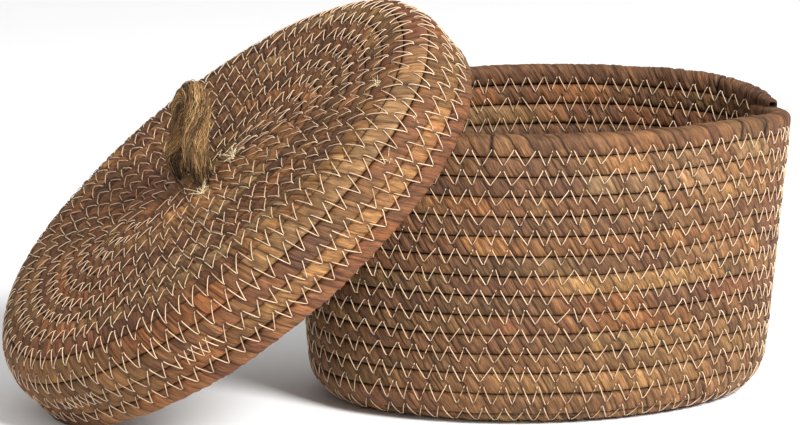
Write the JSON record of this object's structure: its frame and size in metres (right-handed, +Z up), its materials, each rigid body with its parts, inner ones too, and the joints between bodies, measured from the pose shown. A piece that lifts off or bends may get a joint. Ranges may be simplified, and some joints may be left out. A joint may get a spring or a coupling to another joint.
{
  "type": "oval coiled basket with lid",
  "caption": "Oval basket coiled from wrapped grass cord and sewn turn to turn, with a deep loose lid that leans on its end and a thick rope loop as the lid's handle.",
  "frame": {"origin": "middle of the flat underside of the basket, on the floor that it stands on", "axes": "+X along the basket's long axis, away from the leaning lid; +Y across it, away from the viewer; +Z up"},
  "size_m": [0.4163, 0.2454, 0.213],
  "materials": {
    "basket_cord": "matt wrapped seagrass in browns, tans and olive, sewn with cream thread",
    "lid_cord": "matt wrapped seagrass, lighter at the corner turn, sewn with cream thread",
    "rim_cord": "matt wrapped seagrass in reddish brown",
    "jute_rope": "rough hairy jute"
  },
  "bodies": {
    "basket": {"basket_start_pad": "basket_cord", "base_coil_1": "basket_cord", "base_coil_2": "basket_cord", "base_coil_3": "basket_cord", "base_coil_4": "basket_cord", "foot_coil": "basket_cord", "corner_coil": "basket_cord", "heel_coil": "basket_cord", "wall_coil_01": "basket_cord", "wall_coil_02": "basket_cord", "wall_coil_03": "basket_cord", "wall_coil_04": "basket_cord", "wall_coil_05": "basket_cord", "wall_coil_06": "basket_cord", "wall_coil_07": "basket_cord", "wall_coil_08": "basket_cord", "wall_coil_09": "basket_cord", "wall_coil_10": "basket_cord", "wall_coil_11": "basket_cord", "basket_rim_coil": "rim_cord"},
    "lid": {"lid_rim_coil": "rim_cord", "lid_skirt_coil_1": "lid_cord", "lid_skirt_coil_2": "lid_cord", "lid_corner_coil": "lid_cord", "lid_top_coil_1": "lid_cord", "lid_top_coil_2": "lid_cord", "lid_top_coil_3": "lid_cord", "lid_top_coil_4": "lid_cord", "lid_top_coil_5": "lid_cord", "lid_top_coil_6": "lid_cord", "lid_top_coil_7": "lid_cord", "lid_start_pad": "lid_cord", "handle_knot_front": "jute_rope", "handle_knot_rear": "jute_rope"},
    "handle": {"handle_loop": "jute_rope"}
  },
  "joints": [
    {"name": "lid_lift", "type": "slide", "parent": "basket", "child": "lid", "axis": [-0.6624, -0.1933, 0.7238], "range_m": [0, 0.25]},
    {"name": "handle_swing", "type": "hinge", "parent": "lid", "child": "handle", "pos_m": [-0.1901, -0.03289, 0.13135], "axis": [-0.348, 0.935, -0.0687], "range_deg": [-132, 28]}
  ]
}
